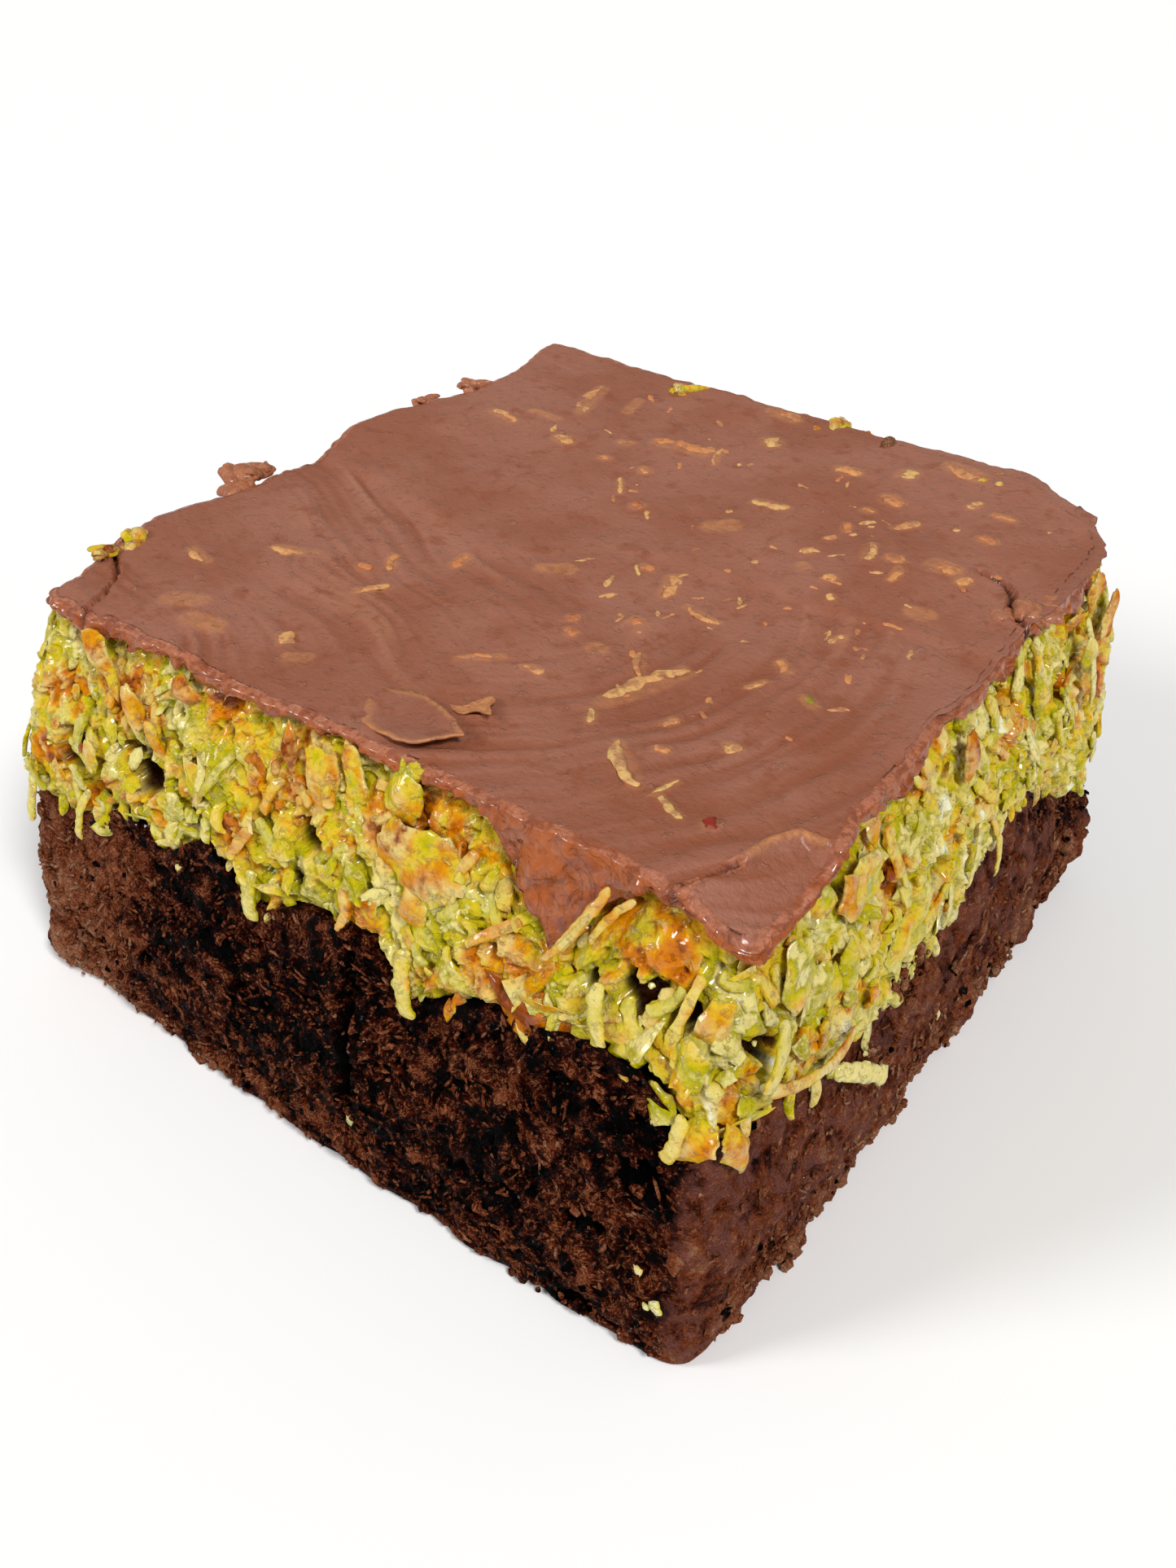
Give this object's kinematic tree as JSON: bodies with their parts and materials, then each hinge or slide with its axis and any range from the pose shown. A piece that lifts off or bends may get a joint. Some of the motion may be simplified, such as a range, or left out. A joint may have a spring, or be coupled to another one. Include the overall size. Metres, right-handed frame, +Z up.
{
  "type": "pistachio kunafa brownie",
  "caption": "Square cut piece of dense chocolate brownie under a thick layer of crisp kunafa shreds in pistachio cream and a thin milk-chocolate top with drips.",
  "frame": {"origin": "on the table, under the middle of the bar's box", "axes": "+Z up through the layers, +X along the front-left cut face towards the front corner, +Y along the front-right cut face away from the front corner"},
  "size_m": [0.0824, 0.0826, 0.0421],
  "materials": {
    "brownie": "moist dark crumb with pits, glossy specks and reddish-brown crumbs",
    "kunafa": "pastry shreds coated in glossy yellow-green pistachio cream, with golden toasted ones",
    "chocolate": "satin milk chocolate with soft swirls and pale embedded shreds"
  },
  "bodies": {
    "root": {"brownie_base": "brownie", "kunafa_filling": "kunafa", "chocolate_top": "chocolate"}
  },
  "joints": []
}
